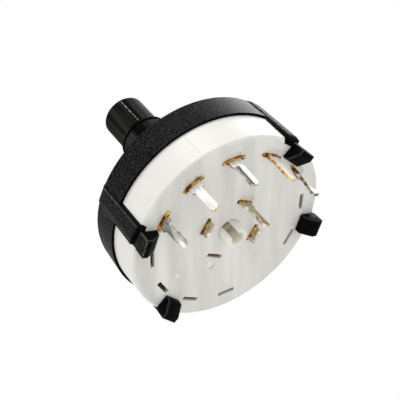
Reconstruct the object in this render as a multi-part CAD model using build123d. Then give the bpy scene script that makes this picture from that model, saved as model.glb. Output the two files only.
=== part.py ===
from build123d import *
import os

# Rotary selector switch, sizes in millimetres.
# The panel seats on z = 0, the spindle points to +Z and outer terminal 1 lies on +X.

# Clearances
running_gap = 0.05
seat_gap = 0.03
ring_gap = 0.1
strip_gap = 0.1
slot_gap = 0.075
slot_side_gap = 0.1
ball_gap = 0.1
bore_gap = 0.03

# Body
band_radius = 13.65
band_depth = 4.3
band_draft = 0.23
wafer_depth = 4.8
wafer_step = 0.35
front_wall = 1.6
front_chamfer = 0.15
rear_edge_chamfer = 0.35
wafer_radius = band_radius - wafer_step
rear_face = -band_depth - wafer_depth

# Bush and locating lug
bush_radius = 4.95
bush_height = 8.0
bush_chamfer = 0.4
bush_relief = 0.25
bush_relief_end = -0.1
bush_bore_radius = 3.55
lug_centre = 10.6
lug_size = (1.4, 2.6, 2.0)
lug_chamfer = 0.25

# Stop
recess_radius = 8.0
recess_depth = 0.6
stop_slot_count = 12
stop_slot_centre = 6.8
stop_slot_size = (0.7, 1.15)
stop_ring_thickness = 0.4
stop_height = 0.8
stop_rib_angle = 148.0
stop_rib_width = 1.2
stop_rib_root = 0.2
stop_lug_angle = 132.6
stop_lug_width = 1.6
stop_lug_setback = 0.2
stop_inner_radius = 5.6
stop_floor = -front_wall - stop_height

# Spigot of the housing inside the skirt of the wafer
skirt_wall = 1.25
spigot_length = 0.9
groove_rim = 0.7
groove_width = 0.7
skirt_inner = wafer_radius - skirt_wall
spigot_radius = skirt_inner - running_gap
spigot_end = -band_depth - spigot_length
groove_outer = spigot_radius - groove_rim
groove_inner = groove_outer - groove_width

# Detent
detent_count = 12
detent_wall = 0.85
notch_radius = 1.6
notch_depth = 0.45
ball_radius = 1.0
detent_wire = 0.28
detent_coil_radius = 0.75
detent_turns = 5
crest_radius = groove_inner - detent_wall - notch_depth
ball_centre = crest_radius - ball_gap - ball_radius
cross_bore_radius = ball_radius + bore_gap
spring_half = ball_centre - ball_radius - detent_wire

# Spindle
shaft_radius = 3.0
shaft_length = 5.9
shaft_chamfer = 0.15
root_show = 4.2
root_chamfer = 0.1
collar_height = 0.3
clip_groove_width = 0.45
clip_groove_depth = 0.15
hub_gap = 0.9
root_radius = bush_bore_radius - running_gap
root_end = bush_height + root_show
shaft_end = root_end + shaft_length
hub_radius = crest_radius - hub_gap
hub_front = stop_floor - running_gap
hub_rear = spigot_end + running_gap
detent_height = (hub_front + hub_rear) / 2

# Wafer web and contact strips
wafer_web = 1.6
sheet = 0.4
outer_slot_angles = (0, 30, 60, 90, 120, 150, 180, 240, 270, 300, 330)
inner_slot_angles = (0, 90, 180, 270)
outer_angles = (0, 30, 60, 90, 120)
pole_angle = 90
stub_angles = (0, 180)
terminal_inset = 2.55
pad_length = 3.35
pad_width = 2.2
pole_plane = 4.0
pole_outer = 5.8
pole_half_depth = 1.6
lead_length = 0.65
lead_width = 1.95
lead_depth = 0.12
wafer_floor = rear_face + wafer_web
slot_size = (sheet + 2 * slot_gap, pad_width + 2 * slot_side_gap)
lead_reach = slot_size[0] / 2 + lead_length
outer_plane = wafer_radius - terminal_inset
pad_inner = outer_plane - pad_length
pole_inner = pole_plane - sheet / 2

# Blades of the contacts
ear_width = 3.0
ear_height = 0.25
shoulder_width = 1.65
shoulder_drop = 1.05
shoulder_slope = 0.25
pin_width = 1.0
pin_taper = 0.4
tip_width = 0.5
tip_chamfer = 0.12
outer_length = 4.85
pin_lean = 4.0
pole_length = 5.06
stub_width = 1.9
stub_length = 1.0
tail_width = 2.1

# Contact carrier
carrier_gap = 0.15
carrier_lift = 0.6
carrier_rim = 0.6
carrier_web = 0.5
tongue_size = (6.0, 2.4)
journal_radius = 1.45
journal_show = 1.9
journal_chamfer = 0.15
journal_core_radius = 0.8
journal_core_depth = 2.6
journal_slot_width = 1.0
journal_slot_angle = 30.0
thrust_radius = 2.4
rest_angle = 120.0
carrier_front = hub_rear - carrier_gap
carrier_rear = wafer_floor + carrier_lift
tongue_end = carrier_rear + carrier_web + strip_gap
journal_end = rear_face - journal_show

# Moving contact and its leaf spring
point_inset = 1.0
point_radius = 0.7
point_chamfer = 0.2
bridge_overhang = 0.8
bridge_width = 2.2
bridge_thickness = 0.43
bridge_lift = 0.55
leaf_thickness = 0.15
leaf_length = 3.0
leaf_width = 1.4
leaf_web = 0.45
bridge_points = (pole_inner + point_inset, pad_inner + point_inset)
bridge_inner = bridge_points[0] - bridge_overhang
bridge_outer = bridge_points[1] + bridge_overhang
bridge_middle = (bridge_inner + bridge_outer) / 2
bridge_rear = wafer_floor + bridge_lift
bridge_front = bridge_rear + bridge_thickness
carrier_radius = bridge_outer + carrier_rim
leaf_seat = carrier_front - leaf_web

# Snap legs: bars that flare outwards from front to rear, each turned to face along its own radius,
# with an open V along the near side, a long bevel on the far side and a head over the rear face
leg_faces = (0, 90, 180, 270)
leg_sides = (-1, 1, -1, 1)
bar_turn = 9.2
bar_sink = 0.035
bar_flare = 0.255
bar_half_width = 0.95
bar_near_front = 0.6
bar_foot = 1.09
bar_far_front = 1.45
bar_far_rear = 1.84
bar_far_drop = 0.11
bar_depth = 0.6
bar_setback = 0.1
bar_start_length = 0.5
bar_start_drop = 0.2
bar_end_angle = 10.5
bar_end_round = 0.3
edge_break = 0.08
neck_drop = 0.1
neck_lap = 0.7
head_turns = (12.5, 15.8, 12.5, 15.8)
head_width = 2.54
head_length = 1.88
head_draft = 0.09
head_thickness = 0.83
hook_reach = 2.3
hook_draft = 0.1
hook_length = 0.85
bar_end = rear_face + bar_setback
bar_floor = wafer_radius - bar_depth
bar_seat = wafer_radius - seat_gap
head_front = rear_face - seat_gap


def cylinder(radius, low, high):
    return Pos(0, 0, (low + high) / 2) * Cylinder(radius, high - low)


def ring(inner, outer, low, high):
    return cylinder(outer, low, high) - cylinder(inner, low, high)


def block(inner, outer, left, right, low, high):
    centre = Pos((inner + outer) / 2, (left + right) / 2, (low + high) / 2)
    return centre * Box(outer - inner, right - left, high - low)


def radial_block(angle, inner, outer, width, low, high):
    return Rot(0, 0, angle) * block(inner, outer, -width / 2, width / 2, low, high)


def slot_cut(angle, plane, size, low, high):
    return radial_block(angle, plane - size[0] / 2, plane + size[0] / 2, size[1], low, high)


def plate(points, plane_x, thickness):
    face = make_face(Polyline(*points, close=True))
    return Pos(plane_x, 0, 0) * extrude(Plane.YZ * face, amount=thickness / 2, both=True)


def mirrored(points):
    return points + [(-y, z) for y, z in reversed(points)]


def level_face(points, z):
    return Pos(0, 0, z) * make_face(Polyline(*points, close=True))


# Sizes of a bar at one height: its outer face, and its near and far edges from its middle plane.
def bar_line(z):
    share = z / bar_end
    face = band_radius - bar_sink + bar_flare * share
    near = bar_near_front + (bar_half_width - bar_near_front) * share
    far = bar_far_front + (bar_far_rear - bar_far_front) * share
    return face, near, far


def leg_bar():
    sections = []
    for z in (0, bar_end):
        face, near, far = bar_line(z)
        outline = [(bar_floor, -bar_foot), (bar_seat, -bar_foot), (face - edge_break, -near)]
        outline += [(face, edge_break - near), (face, bar_half_width)]
        outline += [(band_radius - bar_far_drop, far), (bar_floor, far)]
        sections.append(level_face(outline, z))
    end_plane = Pos(0, -bar_foot, bar_end) * Rot(bar_end_angle, 0, 0) * Plane.XY
    bar = split(loft(sections, ruled=True), bisect_by=end_plane, keep=Keep.TOP)
    outer_face = bar.faces().sort_by(Axis.X)[-1]
    bar = fillet(outer_face.edges().sort_by(Axis.Z)[0], bar_end_round)
    front_face = bar.faces().sort_by(Axis.Z)[-1]
    front_edge = front_face.edges().sort_by(Axis.X)[-1]
    bar = chamfer(front_edge, bar_start_drop, bar_start_length, reference=front_face)
    neck_front = bar_end + neck_lap
    neck = block(bar_floor, wafer_radius - neck_drop, -bar_foot, bar_far_rear, head_front, neck_front)
    return bar + neck


# Room in the band for a bar and for the open V along its near side.
def bar_room():
    sections = []
    for z in (0, -band_depth):
        face, near, far = bar_line(z)
        outer = face + bar_depth
        outline = [(bar_seat, -bar_foot), (outer, -bar_foot), (outer, far), (bar_seat, far)]
        sections.append(level_face(outline, z))
    return loft(sections, ruled=True)


def leg_head():
    outer = wafer_radius + seat_gap
    tip = outer + head_draft
    end = head_front - head_length
    hook = outer - hook_reach
    profile = [(outer, head_front), (tip, end), (tip - head_thickness, end)]
    profile += [(hook + hook_draft, head_front - hook_length), (hook, head_front)]
    face = make_face(Polyline(*profile, close=True))
    head = extrude(Plane.XZ * face, amount=head_width / 2, both=True)
    return chamfer(head.edges(), edge_break)


def placed(shape, number):
    if leg_sides[number] < 0:
        shape = mirror(shape, about=Plane.XZ)
    return Rot(0, 0, leg_faces[number]) * shape


def front_housing():
    body = Pos(0, 0, -band_depth / 2) * Cone(band_radius, band_radius - band_draft, band_depth)
    body = chamfer(body.edges().group_by(Axis.Z)[-1], front_chamfer)
    for number in range(len(leg_faces)):
        body -= placed(Rot(0, 0, bar_turn) * bar_room(), number)
    body += cylinder(spigot_radius, spigot_end, -band_depth)
    body -= ring(bush_radius, recess_radius, -recess_depth, 0)
    bush = cylinder(bush_radius, 0, bush_height)
    body += chamfer(bush.edges().group_by(Axis.Z)[-1], bush_chamfer)
    body -= ring(bush_radius - bush_relief, recess_radius, -recess_depth, bush_relief_end)
    body -= cylinder(crest_radius, spigot_end, -front_wall)
    body -= cylinder(bush_bore_radius, -front_wall, bush_height)
    body -= ring(groove_inner, groove_outer, spigot_end, stop_floor)
    notch = cylinder(notch_radius, spigot_end, stop_floor)
    notch = Pos(crest_radius + notch_depth - notch_radius, 0, 0) * notch
    for i in range(detent_count):
        body -= Rot(0, 0, i * 360 / detent_count) * notch
    for i in range(stop_slot_count):
        angle = i * 360 / stop_slot_count
        body -= slot_cut(angle, stop_slot_centre, stop_slot_size, -front_wall, -recess_depth)
    rib = (stop_rib_angle, stop_inner_radius, crest_radius + stop_rib_root, stop_rib_width)
    body += radial_block(*rib, stop_floor, -front_wall)
    lug = Pos(lug_centre, 0, lug_size[2] / 2) * Box(*lug_size)
    body += Rot(0, 0, 180) * chamfer(lug.edges().group_by(Axis.Z)[-1], lug_chamfer)
    for number, turn in enumerate(head_turns):
        body += placed(Rot(0, 0, bar_turn) * leg_bar() + Rot(0, 0, turn) * leg_head(), number)
    return body


def stop_ring():
    top = -recess_depth + stop_ring_thickness
    body = ring(bush_radius + ring_gap, recess_radius - ring_gap, -recess_depth, top)
    tab_size = (stop_slot_size[0] - 2 * slot_gap, stop_slot_size[1] - 2 * slot_gap)
    return body + slot_cut(0, stop_slot_centre, tab_size, stop_floor + strip_gap, top)


def spindle():
    shaft = cylinder(shaft_radius, root_end, shaft_end)
    shaft = chamfer(shaft.edges().group_by(Axis.Z)[-1], shaft_chamfer)
    root = cylinder(root_radius, hub_front, root_end)
    root = chamfer(root.edges().group_by(Axis.Z)[-1], root_chamfer)
    hub = cylinder(hub_radius, hub_rear, hub_front)
    lug_outer = hub_radius - stop_lug_setback
    lug_top = -front_wall - running_gap
    lug = radial_block(stop_lug_angle, stop_inner_radius, lug_outer, stop_lug_width, hub_front, lug_top)
    tongue = Pos(0, 0, (tongue_end + hub_rear) / 2) * Box(*tongue_size, hub_rear - tongue_end)
    body = shaft + root + hub + lug + tongue
    groove_top = root_end - collar_height
    groove_floor = root_radius - clip_groove_depth
    body -= ring(groove_floor, root_radius + running_gap, groove_top - clip_groove_width, groove_top)
    return body - Pos(0, 0, detent_height) * Rot(0, 90, 0) * Cylinder(cross_bore_radius, 3 * hub_radius)


def detent_spring():
    path = Helix(2 * spring_half / detent_turns, 2 * spring_half, detent_coil_radius)
    section = Plane(origin=path @ 0, x_dir=(1, 0, 0), z_dir=path % 0) * Rectangle(detent_wire, detent_wire)
    coil = sweep(section, path=path)
    return Pos(-spring_half, 0, detent_height) * Rot(0, 90, 0) * coil


def detent_ball(side):
    return Pos(side * ball_centre, 0, detent_height) * Sphere(ball_radius)


def contact_carrier():
    body = cylinder(carrier_radius, carrier_rear, carrier_front)
    body += cylinder(thrust_radius, wafer_floor + running_gap, carrier_rear)
    journal = cylinder(journal_radius, journal_end, carrier_rear)
    body += chamfer(journal.edges().group_by(Axis.Z)[0], journal_chamfer)
    core_end = journal_end + journal_core_depth
    body -= cylinder(journal_core_radius, journal_end, core_end)
    slot = (journal_slot_angle, 0, journal_radius, journal_slot_width)
    body -= radial_block(*slot, journal_end, core_end)
    tongue_slot = (tongue_size[0] + 2 * running_gap, tongue_size[1] + 2 * running_gap)
    body -= slot_cut(0, 0, tongue_slot, carrier_rear + carrier_web, carrier_front)
    inner = bridge_inner - strip_gap
    outer = bridge_outer + strip_gap
    width = bridge_width + 2 * strip_gap
    body -= radial_block(rest_angle, inner, outer, width, carrier_rear, bridge_front + seat_gap)
    inner = bridge_middle - leaf_length / 2 - strip_gap
    outer = bridge_middle + leaf_length / 2 + strip_gap
    width = leaf_width + 2 * strip_gap
    return body - radial_block(rest_angle, inner, outer, width, bridge_front, leaf_seat)


def moving_contact():
    bar = radial_block(rest_angle, bridge_inner, bridge_outer, bridge_width, bridge_rear, bridge_front)
    for radius in bridge_points:
        point = cylinder(point_radius, wafer_floor + running_gap, bridge_rear)
        point = chamfer(point.edges().group_by(Axis.Z)[0], point_chamfer)
        bar += Rot(0, 0, rest_angle) * Pos(radius, 0, 0) * point
    return bar


# Arched leaf between the moving contact and the carrier.
def contact_spring():
    half = leaf_length / 2
    height = leaf_seat - bridge_front - 2 * seat_gap
    crown = ThreePointArc((-half, 0), (0, height), (half, 0))
    inside = half - leaf_thickness
    under = ThreePointArc((-inside, 0), (0, height - leaf_thickness), (inside, 0))
    feet = [Line(crown @ 0, under @ 0), Line(crown @ 1, under @ 1)]
    leaf = extrude(Plane.XZ * make_face([crown, under, *feet]), amount=leaf_width / 2, both=True)
    return Rot(0, 0, rest_angle) * Pos(bridge_middle, 0, bridge_front + seat_gap) * leaf


def rear_wafer():
    body = cylinder(wafer_radius, rear_face, -band_depth)
    body = chamfer(body.edges().group_by(Axis.Z)[0], rear_edge_chamfer)
    body -= cylinder(skirt_inner, wafer_floor, -band_depth)
    body -= cylinder(journal_radius + running_gap, rear_face, wafer_floor)
    body -= pole_half_ring(pole_inner - strip_gap, pole_outer + strip_gap, strip_gap)
    inner = pad_inner - strip_gap
    outer = outer_plane + slot_size[0] / 2
    for angle in outer_slot_angles:
        body -= slot_cut(angle, outer_plane, slot_size, rear_face, wafer_floor)
        body -= radial_block(angle, inner, outer, slot_size[1], wafer_floor - sheet, wafer_floor)
    for angle in inner_slot_angles:
        body -= slot_cut(angle, pole_plane, slot_size, rear_face, wafer_floor)
    leads = [(angle, outer_plane) for angle in outer_angles] + [(pole_angle, pole_plane)]
    lead_floor = rear_face + lead_depth
    for angle, plane in leads:
        body -= radial_block(angle, plane, plane + lead_reach, lead_width, rear_face, lead_floor)
    near = -bar_foot - running_gap
    far = bar_far_rear + running_gap
    notch = block(bar_floor - running_gap, band_radius, near, far, rear_face, -band_depth)
    for number in range(len(leg_faces)):
        body -= placed(Rot(0, 0, bar_turn) * notch, number)
    return body


# Blade below the rear face: shoulder, pin and tapered tip, leaning a little towards the axis.
def blade(plane_x, length, lean):
    top = rear_face - ear_height / 2
    shoulder = rear_face - shoulder_drop
    tip = rear_face - length
    half = [(shoulder_width / 2, top), (shoulder_width / 2, shoulder)]
    half += [(pin_width / 2, shoulder - shoulder_slope), (pin_width / 2, tip + pin_taper)]
    half.append((tip_width / 2, tip))
    shape = plate(mirrored(half), 0, sheet)
    shape = chamfer(shape.edges().filter_by(Axis.Y).group_by(Axis.Z)[0], tip_chamfer)
    return Pos(plane_x, 0, top) * Rot(0, lean, 0) * Pos(0, 0, -top) * shape


def outer_terminal(angle):
    half = [(pad_width / 2, wafer_floor), (pad_width / 2, rear_face)]
    half += [(ear_width / 2, rear_face), (ear_width / 2, rear_face - ear_height)]
    body = plate(mirrored(half), outer_plane, sheet)
    body += radial_block(0, pad_inner, outer_plane + sheet / 2, pad_width, wafer_floor - sheet, wafer_floor)
    return Rot(0, 0, angle) * (body + blade(outer_plane, outer_length, pin_lean))


def pole_half_ring(inner, outer, spare):
    full = ring(inner, outer, wafer_floor - sheet, wafer_floor)
    cut_centre = Pos(0, -outer - pole_half_depth - spare, wafer_floor)
    return full - cut_centre * Box(2 * outer, 2 * outer, 4 * sheet)


def pole_contact():
    body = pole_half_ring(pole_inner, pole_outer, 0)
    half = [(tail_width / 2, wafer_floor), (tail_width / 2, rear_face - ear_height)]
    stem = plate(mirrored(half), pole_plane, sheet)
    body += Rot(0, 0, pole_angle) * (stem + blade(pole_plane, pole_length, 0))
    half = [(stub_width / 2, wafer_floor), (stub_width / 2, rear_face - stub_length)]
    for angle in stub_angles:
        body += Rot(0, 0, angle) * plate(mirrored(half), pole_plane, sheet)
    return body


nodes = {
    "front_housing": front_housing(),
    "stop_ring": stop_ring(),
    "spindle": spindle(),
    "detent_spring": detent_spring(),
    "detent_ball_1": detent_ball(1),
    "detent_ball_2": detent_ball(-1),
    "contact_carrier": contact_carrier(),
    "moving_contact": moving_contact(),
    "contact_spring": contact_spring(),
    "rear_wafer": rear_wafer(),
    "pole_contact": pole_contact(),
}
for number, angle in enumerate(outer_angles, start=1):
    nodes[f"outer_terminal_{number}"] = outer_terminal(angle)

os.makedirs("parts", exist_ok=True)
for name, shape in nodes.items():
    export_step(shape, f"parts/{name}.step")
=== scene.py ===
import bpy
import math
from mathutils import Matrix, Vector


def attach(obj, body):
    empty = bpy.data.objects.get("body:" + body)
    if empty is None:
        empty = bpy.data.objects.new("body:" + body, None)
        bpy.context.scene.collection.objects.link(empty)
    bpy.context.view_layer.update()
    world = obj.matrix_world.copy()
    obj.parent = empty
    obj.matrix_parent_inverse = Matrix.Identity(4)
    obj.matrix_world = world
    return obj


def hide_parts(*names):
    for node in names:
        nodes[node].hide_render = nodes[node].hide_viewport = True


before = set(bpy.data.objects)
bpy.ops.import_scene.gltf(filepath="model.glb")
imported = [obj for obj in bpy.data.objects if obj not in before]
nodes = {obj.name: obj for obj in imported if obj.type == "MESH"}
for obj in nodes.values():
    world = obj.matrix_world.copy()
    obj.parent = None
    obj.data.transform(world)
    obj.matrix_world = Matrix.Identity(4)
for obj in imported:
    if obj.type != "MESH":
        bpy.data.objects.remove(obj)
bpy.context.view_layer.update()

# Places on the part that the finishes and the rounded edges go by
MM = 0.001
REAR_FACE = -9.1 * MM
WAFER_FRONT = -4.3 * MM
WEB_FRONT = -7.5 * MM
WAFER_RADIUS = 13.3 * MM
SKIRT_INSIDE = 12.1 * MM
BAND_RIM = 12.2 * MM
SLOT_TOP = REAR_FACE + 0.14 * MM
EAR_END = REAR_FACE - 0.3 * MM
PIN_START = REAR_FACE - 1.2 * MM
TIP_START = -13.4 * MM
JOURNAL_END = -11.0 * MM
JOURNAL_RADIUS = 1.45 * MM
JOURNAL_SLOT = math.radians(30)
SHAFT_RADIUS = 3.0 * MM
BUSH_END = 8.0 * MM
GRAIN_START = 6.0 * MM
RING_FRONT = -0.2 * MM

# Bars of the four snap legs: the angle of each and the side of its broad slope
BARS = ((-9.2, -1), (99.2, 1), (170.8, -1), (279.2, 1))
BAR_END = -9.0 * MM
BAR_NEAR_FRONT = 0.6 * MM
BAR_NEAR_REAR = 0.95 * MM
BAR_FACE = 13.0 * MM
BAR_EDGE = 0.08 * MM
SLOPE_FACE = 13.2 * MM
SLOPE_START = 0.96 * MM
SLOPE_END = 1.9 * MM

# Thread of the bush, M10 by 0.75, and the V-shaped tool that cuts it
THREAD_RADIUS = 5.0 * MM
THREAD_PITCH = 0.75 * MM
THREAD_START = 0.5 * MM
THREAD_TURNS = 11
THREAD_STEPS = 72
TOOL_MIDDLE = 4.745 * MM
TOOL_WIDTH = 0.72 * MM
TOOL_DEPTH = 0.51 * MM

# Clip groove of the spindle: the least height and the radii of its floor, and how far it is drawn in
GROOVE_HEIGHT = 11.0 * MM
GROOVE_FLOOR = (3.3 * MM, 3.37 * MM)
GROOVE_DRAWN_IN = 0.92

# Refraction of the plastics
ABS_IOR = 1.53
NYLON_IOR = 1.53
PBT_IOR = 1.55

# Colour sockets of the Mix node, by number because their names repeat
TONE_A, TONE_B, TONE = 6, 7, 2

# Leaves out the height, so that only the way out from the axis stays
ACROSS_AXIS = (1, 1, 0)


def linear(code):
    channels = [int(code[i:i + 2], 16) / 255 for i in (1, 3, 5)]
    return [c / 12.92 if c <= 0.04045 else ((c + 0.055) / 1.055) ** 2.4 for c in channels] + [1.0]


def add(tree, kind, inputs=None, **settings):
    node = tree.nodes.new(kind)
    for name, value in settings.items():
        setattr(node, name, value)
    for socket, value in (inputs or {}).items():
        if isinstance(value, bpy.types.NodeSocket):
            tree.links.new(value, node.inputs[socket])
        else:
            node.inputs[socket].default_value = value
    return node


def new_material(name, finish):
    material = bpy.data.materials.new(name)
    material.use_nodes = True
    tree = material.node_tree
    shader = tree.nodes["Principled BSDF"]
    for socket, value in finish.items():
        shader.inputs[socket].default_value = value
    return material, tree, shader


# Black ABS moulded against a spark-eroded tool: matt and deep black, with a grain whose pale tips are partly
# the grain's own tone and partly painted glints.
# The grain is on the outer and front faces. The thread and the flanks that slide along the tool are smoother.
# The real grit is about 0.08 mm, drawn at 0.13 mm so that it shows.
def grained_black_abs(name, deep, tip):
    finish = {"Roughness": 0.42, "IOR": ABS_IOR, "Specular IOR Level": 0.017}
    material, tree, shader = new_material(name, finish)
    coordinates = add(tree, "ShaderNodeTexCoord")
    place = coordinates.outputs["Object"]
    normal = coordinates.outputs["Normal"]
    square_on = {"From Min": 0.5, "From Max": 0.85}
    flat = add(tree, "ShaderNodeVectorMath", {0: place, 1: ACROSS_AXIS}, operation="MULTIPLY")
    outward = add(tree, "ShaderNodeVectorMath", {0: flat.outputs[0]}, operation="NORMALIZE")
    facing = {0: outward.outputs[0], 1: normal}
    along = add(tree, "ShaderNodeVectorMath", facing, operation="DOT_PRODUCT")
    outer_faces = {"Value": along.outputs["Value"], **square_on, "To Min": 0.15}
    outer = add(tree, "ShaderNodeMapRange", outer_faces)
    lean = add(tree, "ShaderNodeSeparateXYZ", {0: normal})
    ahead = add(tree, "ShaderNodeMapRange", {"Value": lean.outputs["Z"], **square_on})
    reach = add(tree, "ShaderNodeVectorMath", {0: flat.outputs[0]}, operation="LENGTH")
    clear = {"Value": reach.outputs["Value"], "From Min": GRAIN_START, "From Max": GRAIN_START + 0.5 * MM}
    past_bush = add(tree, "ShaderNodeMapRange", clear)
    front = add(tree, "ShaderNodeMath", {0: ahead.outputs[0], 1: past_bush.outputs[0]}, operation="MULTIPLY")
    shown = add(tree, "ShaderNodeMath", {0: outer.outputs[0], 1: front.outputs[0]}, operation="MAXIMUM")
    grit = add(tree, "ShaderNodeTexNoise", {"Vector": place, "Scale": 1 / (0.13 * MM), "Detail": 1.0})
    tips = add(tree, "ShaderNodeMapRange", {"Value": grit.outputs[0], "From Min": 0.47, "From Max": 0.74})
    grained = add(tree, "ShaderNodeMath", {0: tips.outputs[0], 1: shown.outputs[0]}, operation="MULTIPLY")
    # The pale tip tone is partly painted glints.
    tones = {"Factor": grained.outputs[0], TONE_A: linear(deep), TONE_B: linear(tip)}
    colour = add(tree, "ShaderNodeMix", tones, data_type="RGBA")
    tree.links.new(colour.outputs[TONE], shader.inputs["Base Color"])
    relief = {"Height": grit.outputs[0], "Strength": 0.8, "Distance": 0.03 * MM}
    bump = add(tree, "ShaderNodeBump", relief)
    tree.links.new(bump.outputs[0], shader.inputs["Normal"])
    return material


# Black nylon spindle from a polished tool: satin, with long soft drag lines along it whose pale tone is
# partly painted sheen, and plain end faces.
def satin_black_nylon():
    finish = {"IOR": NYLON_IOR, "Specular IOR Level": 0.012}
    material, tree, shader = new_material("satin_black_nylon", finish)
    coordinates = add(tree, "ShaderNodeTexCoord")
    place = coordinates.outputs["Object"]
    stretched = add(tree, "ShaderNodeMapping", {"Vector": place, "Scale": (1, 1, 0.05)})
    lines = {"Vector": stretched.outputs[0], "Scale": 1 / (1.1 * MM), "Detail": 4.0}
    drag_and_sheen = add(tree, "ShaderNodeTexNoise", lines)
    share = add(tree, "ShaderNodeMapRange", {"Value": drag_and_sheen.outputs[0], "From Min": 0.42, "From Max": 0.68})
    lean = add(tree, "ShaderNodeSeparateXYZ", {0: coordinates.outputs["Normal"]})
    level = add(tree, "ShaderNodeMath", {0: lean.outputs["Z"]}, operation="ABSOLUTE")
    end_face = add(tree, "ShaderNodeMapRange", {"Value": level.outputs[0], "From Min": 0.4, "From Max": 0.8})
    drawn = add(tree, "ShaderNodeMix", {"Factor": end_face.outputs[0], "A": share.outputs[0], "B": 0.3})
    # The pale streak tone is partly painted sheen along the shaft.
    tones = {"Factor": drawn.outputs[0], TONE_A: linear("#050505"), TONE_B: linear("#323230")}
    colour = add(tree, "ShaderNodeMix", tones, data_type="RGBA")
    tree.links.new(colour.outputs[TONE], shader.inputs["Base Color"])
    rough = add(tree, "ShaderNodeMapRange", {"Value": drag_and_sheen.outputs[0], "To Min": 0.5, "To Max": 0.65})
    tree.links.new(rough.outputs[0], shader.inputs["Roughness"])
    return material


# White PBT moulding: dense and neutral, with a soft gloss and faint flow streaks on its rear face.
# The streaks are about 2 mm wide. The slots' walls deep inside are painted tan: painted shade.
def white_pbt(name, pale, deep):
    material, tree, shader = new_material(name, {"IOR": PBT_IOR})
    place = add(tree, "ShaderNodeTexCoord").outputs["Object"]
    height = add(tree, "ShaderNodeSeparateXYZ", {0: place}).outputs["Z"]
    flow_way = {"Vector": place, "Rotation": (0, 0, math.radians(58)), "Scale": (9, 1, 1)}
    turned = add(tree, "ShaderNodeMapping", flow_way, vector_type="TEXTURE")
    streaks = {"Vector": turned.outputs[0], "Scale": 1 / (2.2 * MM), "Detail": 2.0}
    flow = add(tree, "ShaderNodeTexNoise", streaks)
    share = add(tree, "ShaderNodeMapRange", {"Value": flow.outputs[0], "From Min": 0.35, "From Max": 0.68})
    rear = {"Value": height, "From Min": REAR_FACE + 0.5 * MM, "From Max": REAR_FACE + 0.1 * MM}
    at_rear = add(tree, "ShaderNodeMapRange", rear)
    streak = add(tree, "ShaderNodeMix", {"Factor": at_rear.outputs[0], "A": 0.6, "B": share.outputs[0]})
    tones = {"Factor": streak.outputs[0], TONE_A: linear(deep), TONE_B: linear(pale)}
    colour = add(tree, "ShaderNodeMix", tones, data_type="RGBA")
    # Painted shade: the slots' walls from 0.5 mm in, inside the skirt and rearward of the web, turn tan.
    slots = {"Value": height, "From Min": SLOT_TOP, "From Max": SLOT_TOP + 0.5 * MM}
    deepness = add(tree, "ShaderNodeMapRange", slots)
    flat = add(tree, "ShaderNodeVectorMath", {0: place, 1: ACROSS_AXIS}, operation="MULTIPLY")
    reach = add(tree, "ShaderNodeVectorMath", {0: flat.outputs[0]}, operation="LENGTH")
    skirt = {"Value": reach.outputs["Value"], "From Min": SKIRT_INSIDE + 0.2 * MM, "From Max": SKIRT_INSIDE}
    inside = add(tree, "ShaderNodeMapRange", skirt)
    walls = add(tree, "ShaderNodeMath", {0: deepness.outputs[0], 1: inside.outputs[0]}, operation="MULTIPLY")
    web = {"Value": height, "From Min": WEB_FRONT - 0.1 * MM, "From Max": WEB_FRONT - 0.3 * MM}
    in_web = add(tree, "ShaderNodeMapRange", web)
    painted_shade = add(tree, "ShaderNodeMath", {0: walls.outputs[0], 1: in_web.outputs[0]}, operation="MULTIPLY")
    shade_tones = {"Factor": painted_shade.outputs[0], TONE_A: colour.outputs[TONE], TONE_B: linear("#a87f3c")}
    shaded = add(tree, "ShaderNodeMix", shade_tones, data_type="RGBA")
    tree.links.new(shaded.outputs[TONE], shader.inputs["Base Color"])
    rough = add(tree, "ShaderNodeMapRange", {"Value": flow.outputs[0], "To Min": 0.4, "To Max": 0.5})
    tree.links.new(rough.outputs[0], shader.inputs["Roughness"])
    return material


# Ivory PBT of the rotor: a little see-through, so that the thin walls of its journal glow.
# The open half of the hollow in the journal's end is painted brown, more so deeper in: painted shade inside
# the hollow.
def ivory_pbt():
    glow = {"Subsurface Weight": 0.9, "Subsurface Radius": (1.0, 0.95, 0.8), "Subsurface Scale": 1.2 * MM}
    finish = {"Roughness": 0.4, "IOR": PBT_IOR, **glow}
    material, tree, shader = new_material("ivory_pbt", finish)
    place = add(tree, "ShaderNodeTexCoord").outputs["Object"]
    height = add(tree, "ShaderNodeSeparateXYZ", {0: place}).outputs["Z"]
    toward_slot = (math.cos(JOURNAL_SLOT), math.sin(JOURNAL_SLOT), 0)
    offset = add(tree, "ShaderNodeVectorMath", {0: place, 1: toward_slot}, operation="DOT_PRODUCT")
    slot_side = {"Value": offset.outputs["Value"], "From Min": -0.3 * MM, "From Max": 0.5 * MM}
    open_half = add(tree, "ShaderNodeMapRange", slot_side)
    flat = add(tree, "ShaderNodeVectorMath", {0: place, 1: ACROSS_AXIS}, operation="MULTIPLY")
    reach = add(tree, "ShaderNodeVectorMath", {0: flat.outputs[0]}, operation="LENGTH")
    bounds = {"From Min": JOURNAL_RADIUS - 0.05 * MM, "From Max": JOURNAL_RADIUS - 0.2 * MM}
    within = add(tree, "ShaderNodeMapRange", {"Value": reach.outputs["Value"], **bounds})
    depth = {"Value": height, "From Min": JOURNAL_END + 0.1 * MM, "From Max": JOURNAL_END + 0.8 * MM}
    deepness = add(tree, "ShaderNodeMapRange", depth)
    # Painted shade: brown on the open half of the hollow, growing deeper in.
    shares = {0: open_half.outputs[0], 1: within.outputs[0]}
    hollow = add(tree, "ShaderNodeMath", shares, operation="MULTIPLY")
    painted_shade = add(tree, "ShaderNodeMath", {0: hollow.outputs[0], 1: deepness.outputs[0]}, operation="MULTIPLY")
    tones = {"Factor": painted_shade.outputs[0], TONE_A: linear("#f6f3e8"), TONE_B: linear("#b39a70")}
    colour = add(tree, "ShaderNodeMix", tones, data_type="RGBA")
    tree.links.new(colour.outputs[TONE], shader.inputs["Base Color"])
    return material
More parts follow.
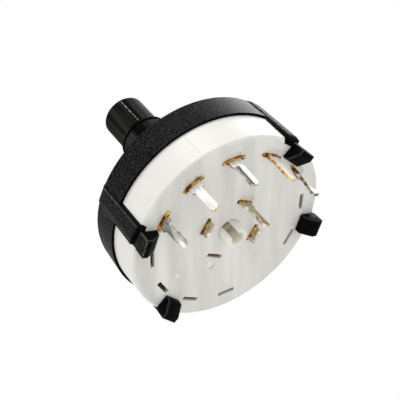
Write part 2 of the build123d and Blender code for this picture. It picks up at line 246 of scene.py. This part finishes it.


# Nylon along the spindle's parting line: a broken pale ridge, its near-white spots a painted highlight.
def highlit_nylon_ridge():
    material, tree, shader = new_material("highlit_nylon_ridge", {"Roughness": 0.4, "IOR": NYLON_IOR})
    place = add(tree, "ShaderNodeTexCoord").outputs["Object"]
    glint_spots = add(tree, "ShaderNodeTexNoise", {"Vector": place, "Scale": 1 / (0.35 * MM), "Detail": 1.0})
    share = add(tree, "ShaderNodeMapRange", {"Value": glint_spots.outputs[0], "From Min": 0.45, "From Max": 0.64})
    # Painted highlight: the ridge's spots run from dark to near white.
    tones = {"Factor": share.outputs[0], TONE_A: linear("#2c2c2b"), TONE_B: linear("#e8e8e6")}
    colour = add(tree, "ShaderNodeMix", tones, data_type="RGBA")
    tree.links.new(colour.outputs[TONE], shader.inputs["Base Color"])
    return material


# Brass strip, sheared to shape: bright plating on the broad faces, pale thin edges and gold seats, mottled
# with painted shade in their dark brown and painted glints in their palest gold.
# The broad faces look along the radius, and the seats lie above the ears' ends.
# A pin given a side is painted dark grey along the half that lies toward that side.
def sheared_brass(name, face, edge, darker_side=None, roughness=(0.28, 0.46)):
    material, tree, shader = new_material(name, {"Metallic": 1.0})
    coordinates = add(tree, "ShaderNodeTexCoord")
    place = coordinates.outputs["Object"]
    height = add(tree, "ShaderNodeSeparateXYZ", {0: place}).outputs["Z"]
    flat = add(tree, "ShaderNodeVectorMath", {0: place, 1: ACROSS_AXIS}, operation="MULTIPLY")
    outward = add(tree, "ShaderNodeVectorMath", {0: flat.outputs[0]}, operation="NORMALIZE")
    facing = {0: outward.outputs[0], 1: coordinates.outputs["Normal"]}
    along = add(tree, "ShaderNodeVectorMath", facing, operation="DOT_PRODUCT")
    turned = add(tree, "ShaderNodeMath", {0: along.outputs["Value"]}, operation="ABSOLUTE")
    broad = add(tree, "ShaderNodeMapRange", {"Value": turned.outputs[0], "From Min": 0.75, "From Max": 0.93})
    past_ears = {"Value": height, "From Min": EAR_END, "From Max": EAR_END - 0.25 * MM}
    below = add(tree, "ShaderNodeMapRange", past_ears)
    plated = add(tree, "ShaderNodeMath", {0: broad.outputs[0], 1: below.outputs[0]}, operation="MULTIPLY")
    stretched = add(tree, "ShaderNodeMapping", {"Vector": place, "Scale": (1, 1, 0.2)})
    rolled = {"Vector": stretched.outputs[0], "Scale": 1 / (0.3 * MM), "Detail": 2.0}
    roll = add(tree, "ShaderNodeTexNoise", rolled)
    share = add(tree, "ShaderNodeMapRange", {"Value": roll.outputs[0], "From Min": 0.35, "From Max": 0.7})
    tins = {"Factor": share.outputs[0], TONE_A: linear(face[0]), TONE_B: linear(face[1])}
    tin = add(tree, "ShaderNodeMix", tins, data_type="RGBA")
    torn = add(tree, "ShaderNodeTexNoise", {"Vector": place, "Scale": 1 / (0.6 * MM), "Detail": 2.0})
    tear = add(tree, "ShaderNodeMapRange", {"Value": torn.outputs[0], "From Min": 0.4, "From Max": 0.62})
    # Painted shade and painted glints: the seats' mottle runs from dark brown to pale gold.
    seats = {"Factor": tear.outputs[0], TONE_A: linear("#8a5505"), TONE_B: linear("#ffd480")}
    seat_gold_shade_glints = add(tree, "ShaderNodeMix", seats, data_type="RGBA")
    pins = {"Factor": tear.outputs[0], TONE_A: linear(edge[0]), TONE_B: linear(edge[1])}
    pin_gold = add(tree, "ShaderNodeMix", pins, data_type="RGBA")
    golds = {"Factor": below.outputs[0], TONE_A: seat_gold_shade_glints.outputs[TONE], TONE_B: pin_gold.outputs[TONE]}
    gold = add(tree, "ShaderNodeMix", golds, data_type="RGBA")
    # With a side given, the pin's half toward it is painted dark grey.
    if darker_side:
        across = add(tree, "ShaderNodeVectorMath", {0: place, 1: darker_side}, operation="DOT_PRODUCT")
        half = {"Value": across.outputs["Value"], "From Min": 0.02 * MM, "From Max": 0.12 * MM}
        toward_darker = add(tree, "ShaderNodeMapRange", half)
        pin = {"Value": height, "From Min": PIN_START, "From Max": PIN_START - 0.2 * MM}
        on_pin = add(tree, "ShaderNodeMapRange", pin)
        darker_half = add(tree, "ShaderNodeMath", {0: toward_darker.outputs[0], 1: on_pin.outputs[0]}, operation="MULTIPLY")
        darkened_tones = {"Factor": darker_half.outputs[0], TONE_A: tin.outputs[TONE], TONE_B: linear("#5a5b5e")}
        tin = add(tree, "ShaderNodeMix", darkened_tones, data_type="RGBA")
    both = {"Factor": plated.outputs[0], TONE_A: gold.outputs[TONE], TONE_B: tin.outputs[TONE]}
    colour = add(tree, "ShaderNodeMix", both, data_type="RGBA")
    tree.links.new(colour.outputs[TONE], shader.inputs["Base Color"])
    sheen = {"Value": roll.outputs[0], "To Min": roughness[0], "To Max": roughness[1]}
    rough = add(tree, "ShaderNodeMapRange", sheen)
    tree.links.new(rough.outputs[0], shader.inputs["Roughness"])
    return material


# Zinc-plated spring steel and polished ball steel: pale grey metal with a faint mottle from the bath.
def plated_steel(name, dark, light, roughness):
    material, tree, shader = new_material(name, {"Metallic": 1.0, "Roughness": roughness})
    place = add(tree, "ShaderNodeTexCoord").outputs["Object"]
    bath = add(tree, "ShaderNodeTexNoise", {"Vector": place, "Scale": 1 / (0.5 * MM), "Detail": 3.0})
    share = add(tree, "ShaderNodeMapRange", {"Value": bath.outputs[0], "From Min": 0.3, "From Max": 0.7})
    tones = {"Factor": share.outputs[0], TONE_A: linear(dark), TONE_B: linear(light)}
    colour = add(tree, "ShaderNodeMix", tones, data_type="RGBA")
    tree.links.new(colour.outputs[TONE], shader.inputs["Base Color"])
    return material


# The housing's rounded edges and the bars' far slopes carry paler copies of the black: painted highlights.
# The gate marks are paler where they blushed.
abs_black = grained_black_abs("grained_black_abs", "#030303", "#444445")
abs_edge_highlight = grained_black_abs("black_abs_edge_highlight", "#343434", "#a4a4a4")
abs_slope_highlight = grained_black_abs("black_abs_slope_highlight", "#121212", "#5c5c5c")
nylon_black = satin_black_nylon()
nylon_ridge = highlit_nylon_ridge()
wafer_white = white_pbt("white_pbt", "#efeeea", "#d9d8d3")
wafer_blush = white_pbt("blushed_white_pbt", "#f5f5f2", "#edece9")
carrier_white = ivory_pbt()

# The tags differ in tone: bright, grey-faced, dark-edged, dark grey along one half, or frosted. The inner one
# is bare.
GOLD_EDGE = ("#c2953f", "#f4dfae")
PALE_EDGE = ("#a8977a", "#fff4dd")
DARK_EDGE = ("#5c523f", "#d8cdb6")
THIRD_TAG_LEFT = (math.sin(math.radians(60)), -math.cos(math.radians(60)), 0)
FROSTED = (0.62, 0.75)
bright_tin = sheared_brass("bright_tinned_brass", ("#dddbd6", "#ffffff"), GOLD_EDGE)
grey_faced_tin = sheared_brass("grey_faced_tinned_brass", ("#7f7d78", "#d2d0cb"), PALE_EDGE)
dark_edged_tin = sheared_brass("dark_edged_tinned_brass", ("#c9c7c2", "#ffffff"), DARK_EDGE)
half_darkened_tin = sheared_brass("half_darkened_tinned_brass", ("#e6e4df", "#ffffff"), PALE_EDGE, darker_side=THIRD_TAG_LEFT)
frosted_tin = sheared_brass("frosted_tinned_brass", ("#f1efea", "#ffffff"), GOLD_EDGE, roughness=FROSTED)
bare_strip = sheared_brass("bare_brass_strip", ("#a39473", "#ded2b8"), PALE_EDGE)
spring_steel = plated_steel("plated_spring_steel", "#8f9090", "#bcbcb8", 0.3)
ball_steel = plated_steel("polished_ball_steel", "#b4b5b8", "#c8c9cc", 0.12)

finishes = {
    "front_housing": abs_black,
    "stop_ring": spring_steel,
    "spindle": nylon_black,
    "detent_spring": spring_steel,
    "detent_ball_1": ball_steel,
    "detent_ball_2": ball_steel,
    "contact_carrier": carrier_white,
    "moving_contact": bare_strip,
    "contact_spring": spring_steel,
    "rear_wafer": wafer_white,
    "pole_contact": bare_strip,
    "outer_terminal_1": grey_faced_tin,
    "outer_terminal_2": bright_tin,
    "outer_terminal_3": half_darkened_tin,
    "outer_terminal_4": frosted_tin,
    "outer_terminal_5": dark_edged_tin,
}
for name, material in finishes.items():
    nodes[name].data.materials.clear()
    nodes[name].data.materials.append(material)

# Places of the housing's three finishes among its materials
GRAINED, EDGE_HIGHLIGHT, SLOPE_HIGHLIGHT = 0, 1, 2


def only(piece):
    if bpy.context.object and bpy.context.object.mode != "OBJECT":
        bpy.ops.object.mode_set(mode="OBJECT")
    bpy.ops.object.select_all(action="DESELECT")
    piece.select_set(True)
    bpy.context.view_layer.objects.active = piece


# A copy of a CAD node, its triangles merged to one skin with flat faces kept whole.
def skin_of(node_name, name):
    piece = bpy.data.objects.new(name, nodes[node_name].data.copy())
    bpy.context.scene.collection.objects.link(piece)
    only(piece)
    bpy.ops.object.mode_set(mode="EDIT")
    bpy.ops.mesh.select_all(action="SELECT")
    bpy.ops.mesh.customdata_custom_splitnormals_clear()
    bpy.ops.mesh.remove_doubles(threshold=0.0005 * MM)
    bpy.ops.mesh.dissolve_limited(angle_limit=math.radians(0.2))
    bpy.ops.object.mode_set(mode="OBJECT")
    return piece


def smooth(piece, degrees=20):
    only(piece)
    bpy.ops.object.shade_smooth_by_angle(angle=math.radians(degrees))


def applied(piece, kind, **settings):
    only(piece)
    modifier = piece.modifiers.new(kind.lower(), kind)
    for name, value in settings.items():
        setattr(modifier, name, value)
    bpy.ops.object.modifier_apply(modifier=modifier.name)


def select_where(piece, test):
    bpy.ops.object.mode_set(mode="EDIT")
    bpy.ops.mesh.select_mode(type="VERT")
    bpy.ops.mesh.select_all(action="DESELECT")
    bpy.ops.object.mode_set(mode="OBJECT")
    for vertex in piece.data.vertices:
        vertex.select = test(vertex.co)
    bpy.ops.object.mode_set(mode="EDIT")


# Rounds the edges sharper than the given degrees whose ends both pass the test.
# The new faces get the given finish, or with -1 that of the faces beside them.
def soften(piece, width, degrees, test, segments=2, finish=-1):
    only(piece)
    bpy.ops.object.mode_set(mode="EDIT")
    bpy.ops.mesh.select_mode(type="EDGE")
    bpy.ops.mesh.select_all(action="DESELECT")
    bpy.ops.mesh.edges_select_sharp(sharpness=math.radians(degrees))
    bpy.ops.object.mode_set(mode="OBJECT")
    points = piece.data.vertices
    sharp = [edge for edge in piece.data.edges if edge.select]
    chosen = [edge.index for edge in sharp if all(test(points[i].co) for i in edge.vertices)]
    bpy.ops.object.mode_set(mode="EDIT")
    bpy.ops.mesh.select_all(action="DESELECT")
    bpy.ops.object.mode_set(mode="OBJECT")
    for index in chosen:
        piece.data.edges[index].select = True
    bpy.ops.object.mode_set(mode="EDIT")
    rounding = {"offset": width, "segments": segments, "affect": "EDGES", "material": finish}
    bpy.ops.mesh.bevel(**rounding, clamp_overlap=False)
    bpy.ops.object.mode_set(mode="OBJECT")


def place_piece(piece, body, node_name=None):
    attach(piece, body)
    if node_name:
        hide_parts(node_name)


# Each leg's bar has a narrow face along its near edge painted as an edge highlight, and a broad slope along
# its far one painted lighter as a highlight.
# The bar widens from front to rear, and is read here in its own plane.
def bar_finish(centre):
    near = BAR_NEAR_FRONT + (BAR_NEAR_REAR - BAR_NEAR_FRONT) * centre.z / BAR_END
    for angle, side in BARS:
        turned = Matrix.Rotation(-math.radians(angle), 2) @ centre.xy
        if turned.x > BAR_FACE and abs(side * turned.y + near - BAR_EDGE / 2) < BAR_EDGE / 2:
            return EDGE_HIGHLIGHT
        if turned.x > SLOPE_FACE and SLOPE_START < side * turned.y < SLOPE_END:
            return SLOPE_HIGHLIGHT
    return GRAINED


# V-shaped tool for the thread, wound round the axis.
def thread_tool():
    start = (TOOL_MIDDLE, 0, THREAD_START)
    bpy.ops.object.select_all(action="DESELECT")
    bpy.ops.mesh.primitive_plane_add(size=TOOL_WIDTH, location=start, rotation=(math.pi / 2, 0, 0))
    tool = bpy.context.object
    only(tool)
    bpy.ops.object.transform_apply(location=True, rotation=True, scale=True)
    select_where(tool, lambda co: co.x < TOOL_MIDDLE)
    bpy.ops.mesh.merge(type="CENTER")
    bpy.ops.mesh.select_all(action="SELECT")
    flattened = (TOOL_DEPTH / TOOL_WIDTH, 1, 1)
    bpy.ops.transform.resize(value=flattened, center_override=(THREAD_RADIUS, 0, 0))
    bpy.ops.mesh.delete(type="ONLY_FACE")
    bpy.ops.object.mode_set(mode="OBJECT")
    winding = {"screw_offset": THREAD_PITCH, "iterations": THREAD_TURNS}
    applied(tool, "SCREW", axis="Z", steps=THREAD_STEPS, render_steps=THREAD_STEPS, **winding)
    bpy.ops.object.mode_set(mode="EDIT")
    bpy.ops.mesh.select_all(action="SELECT")
    bpy.ops.mesh.fill_holes(sides=4)
    bpy.ops.mesh.select_all(action="SELECT")
    bpy.ops.mesh.normals_make_consistent(inside=False)
    bpy.ops.object.mode_set(mode="OBJECT")
    return tool


# Housing with its snap heads' edges rounded and painted as highlights, its band's rim rounded and the bush's
# thread cut
tool = thread_tool()
housing = skin_of("front_housing", "housing_moulding")
housing.data.materials.append(abs_edge_highlight)
housing.data.materials.append(abs_slope_highlight)
# The heads' rounded edges get the pale copy of the black: a painted edge highlight.
soften(housing, 0.07 * MM, 40, lambda co: co.z < REAR_FACE - 0.05 * MM, finish=EDGE_HIGHLIGHT)
soften(housing, 0.05 * MM, 50, lambda co: co.z > WAFER_FRONT - 0.01 * MM and co.xy.length > BAND_RIM)
# Painted highlights: the bars' near edges and far slopes get the paler copies of the black.
for face in housing.data.polygons:
    if abs(face.normal.z) < 0.2:
        face.material_index = max(face.material_index, bar_finish(face.center))
applied(housing, "BOOLEAN", operation="DIFFERENCE", solver="EXACT", object=tool)
bpy.data.objects.remove(tool)
smooth(housing)
place_piece(housing, "housing", "front_housing")

# Wafer with its rear edge rounded
wafer = skin_of("rear_wafer", "wafer_moulding")
at_rim = WAFER_RADIUS - 0.5 * MM
soften(wafer, 0.13 * MM, 30, lambda co: co.z < REAR_FACE + 0.4 * MM and co.xy.length > at_rim, segments=4)
smooth(wafer)
place_piece(wafer, "housing", "rear_wafer")

# Spindle with its clip groove drawn in
spindle = skin_of("spindle", "spindle_moulding")
inner, outer = GROOVE_FLOOR
select_where(spindle, lambda co: co.z > GROOVE_HEIGHT and inner < co.xy.length < outer)
bpy.ops.transform.resize(value=(GROOVE_DRAWN_IN, GROOVE_DRAWN_IN, 1), center_override=(0, 0, 0))
bpy.ops.object.mode_set(mode="OBJECT")
soften(spindle, 0.03 * MM, 60, lambda co: co.z > BUSH_END)
smooth(spindle)
place_piece(spindle, "rotor", "spindle")

# Carrier with its journal's end rounded
carrier = skin_of("contact_carrier", "carrier_moulding")
soften(carrier, 0.06 * MM, 40, lambda co: co.z < REAR_FACE)
smooth(carrier)
place_piece(carrier, "rotor", "contact_carrier")

# Stop ring with its front edges rounded
stop_plate = skin_of("stop_ring", "stop_ring_plated")
soften(stop_plate, 0.04 * MM, 60, lambda co: co.z > RING_FRONT - 0.1 * MM)
smooth(stop_plate)
place_piece(stop_plate, "housing", "stop_ring")


# A pin that handling has twisted: its tip is turned about its own middle.
def twist_tip(blade, degrees):
    tip = [vertex.co.copy() for vertex in blade.data.vertices if vertex.co.z < TIP_START]
    middle = sum(tip, Vector()) / len(tip)
    select_where(blade, lambda co: co.z < TIP_START)
    bpy.ops.transform.rotate(value=math.radians(degrees), orient_axis="Z", center_override=middle)
    bpy.ops.object.mode_set(mode="OBJECT")


# Tags with the edges outside the wafer rounded
blades = {f"outer_terminal_{number}": f"tag_{number}" for number in range(1, 6)}
blades["pole_contact"] = "pole_tags"
for node_name, name in blades.items():
    blade = skin_of(node_name, name)
    soften(blade, 0.035 * MM, 40, lambda co: co.z < REAR_FACE + 0.01 * MM)
    if name == "tag_5":
        twist_tip(blade, 35)
    smooth(blade)
    place_piece(blade, "housing", node_name)


# Low round moulding mark on the rear face, its foot a little sunk.
# With a rim it is hollow, as an ejector pin leaves it.
def gate_mark(name, radius, degrees, size, height=0.06 * MM, rim=None):
    foot = 0.02 * MM
    angle = math.radians(degrees)
    middle = (radius * math.cos(angle), radius * math.sin(angle), REAR_FACE - height / 2)
    disc = {"vertices": 24, "radius": size / 2, "depth": height + 2 * foot}
    bpy.ops.object.select_all(action="DESELECT")
    bpy.ops.mesh.primitive_cylinder_add(**disc, location=middle)
    mark = bpy.context.object
    mark.name = name
    only(mark)
    bpy.ops.object.transform_apply(location=True, rotation=True, scale=True)
    select_where(mark, lambda co: co.z < middle[2])
    bpy.ops.mesh.bevel(offset=height * 0.7, segments=3, affect="EDGES")
    if rim:
        bpy.ops.object.mode_set(mode="OBJECT")
        select_where(mark, lambda co: co.z < REAR_FACE - height * 0.95)
        bpy.ops.mesh.inset(thickness=rim)
        bpy.ops.transform.translate(value=(0, 0, height * 0.7))
    bpy.ops.object.mode_set(mode="OBJECT")
    mark.data.materials.append(wafer_blush)
    smooth(mark, 50)
    place_piece(mark, "housing")


gate_mark("gate_mark_1", 8.55 * MM, -60, 0.7 * MM)
gate_mark("gate_mark_2", 8.55 * MM, -120, 0.7 * MM)
gate_mark("ejector_ring", 5.34 * MM, -90, 1.5 * MM, rim=0.2 * MM)


# Flash line where two halves of a tool meet: a fine ridge along the axis, 0.08 mm deep and 0.07 mm wide.
def flash_line(name, degrees, radius, low, high, material, body, slot):
    angle = math.radians(degrees)
    place = (radius * math.cos(angle), radius * math.sin(angle), (low + high) / 2)
    size = (0.08, 0.07, (high - low) / MM)
    bpy.ops.object.select_all(action="DESELECT")
    bpy.ops.mesh.primitive_cube_add(size=1 * MM, location=place, rotation=(0, 0, angle), scale=size)
    line = bpy.context.object
    line.name = name
    only(line)
    bpy.ops.object.transform_apply(location=True, rotation=True, scale=True)
    bpy.ops.object.mode_set(mode="EDIT")
    bpy.ops.mesh.select_all(action="SELECT")
    bpy.ops.mesh.bevel(offset=0.02 * MM, segments=2, affect="EDGES")
    bpy.ops.object.mode_set(mode="OBJECT")
    line.data.materials.append(material)
    smooth(line, 40)
    place_piece(line, body)


shaft_line = ("shaft_flash_line", 47, SHAFT_RADIUS, 12.4 * MM, 17.8 * MM)
flash_line(*shaft_line, nylon_ridge, "rotor", "spindle_black")
wafer_line = ("wafer_flash_line", 42.5, WAFER_RADIUS, REAR_FACE + 0.4 * MM, WAFER_FRONT - 0.1 * MM)
flash_line(*wafer_line, wafer_white, "housing", "wafer_white")


# The rays that show the white surround as it is: to the camera, off metal and through clear pieces.
def showing_rays(tree):
    path = add(tree, "ShaderNodeLightPath").outputs
    rays = {0: path["Is Camera Ray"], 1: path["Is Glossy Ray"]}
    seen = add(tree, "ShaderNodeMath", rays, operation="MAXIMUM")
    rays = {0: seen.outputs[0], 1: path["Is Transmission Ray"]}
    return add(tree, "ShaderNodeMath", rays, operation="MAXIMUM").outputs[0]


# Floor well below the part, which its bush holds in the air
FLOOR_HEIGHT = -0.15
bpy.ops.object.select_all(action="DESELECT")
bpy.ops.mesh.primitive_plane_add(size=4, location=(0, 0, FLOOR_HEIGHT))
floor = bpy.context.object
floor.name = "floor"
paint = {"Base Color": linear("#d6d6d4"), "Roughness": 0.8}
pale, tree, shader = new_material("pale_floor", paint)
shine = add(tree, "ShaderNodeEmission", {"Color": (1, 1, 1, 1), "Strength": 1.0})
shares = {0: showing_rays(tree), 1: shader.outputs[0], 2: shine.outputs[0]}
mixed = add(tree, "ShaderNodeMixShader", shares)
tree.links.new(mixed.outputs[0], tree.nodes["Material Output"].inputs["Surface"])
floor.data.materials.append(pale)

# Studio: a white surround that the camera and the metals see, and a softer one that lights the part
SURROUND_LIGHT = 0.55
world = bpy.data.worlds.new("studio")
bpy.context.scene.world = world
world.use_nodes = True
tree = world.node_tree
strengths = {"Value": showing_rays(tree), "To Min": SURROUND_LIGHT, "To Max": 1.0}
level = add(tree, "ShaderNodeMapRange", strengths)
background = tree.nodes["Background"]
background.inputs["Color"].default_value = (1, 1, 1, 1)
tree.links.new(level.outputs[0], background.inputs["Strength"])

# Camera at the photograph's place, its axes in the part's frame
CAMERA_PLACE = (0.08795, 0.04586, -0.0859)
right = Vector((-0.7277, 0.4487, -0.5188))
up = Vector((0.1046, 0.8201, 0.5625))
back = Vector((0.6778, 0.3551, -0.6438))
camera = bpy.data.objects.new("camera", bpy.data.cameras.new("camera"))
bpy.context.scene.collection.objects.link(camera)
turn = Matrix((right, up, back)).transposed().to_4x4()
camera.matrix_world = Matrix.Translation(CAMERA_PLACE) @ turn
camera.data.lens = 92.45
camera.data.sensor_width = 36
camera.data.clip_start = 0.005
bpy.context.scene.camera = camera

LAMP_DISTANCE = 0.5


def soft_box(name, toward, size, watts):
    lamp = bpy.data.objects.new(name, bpy.data.lights.new(name, "AREA"))
    bpy.context.scene.collection.objects.link(lamp)
    direction = toward.normalized()
    facing = direction.to_track_quat("Z", "Y").to_matrix().to_4x4()
    lamp.matrix_world = Matrix.Translation(direction * LAMP_DISTANCE) @ facing
    lamp.data.shape = "DISK"
    lamp.data.size = size
    lamp.data.energy = watts


soft_box("key", -0.25 * right + 0.95 * up + 0.2 * back, size=0.3, watts=1.25)
soft_box("bounce", -0.9 * right - 0.4 * up + 0.1 * back, size=0.4, watts=0.8)
soft_box("rim", 0.15 * right + 0.62 * up - 0.77 * back, size=0.3, watts=2.1)

bpy.context.scene.view_settings.view_transform = "Standard"
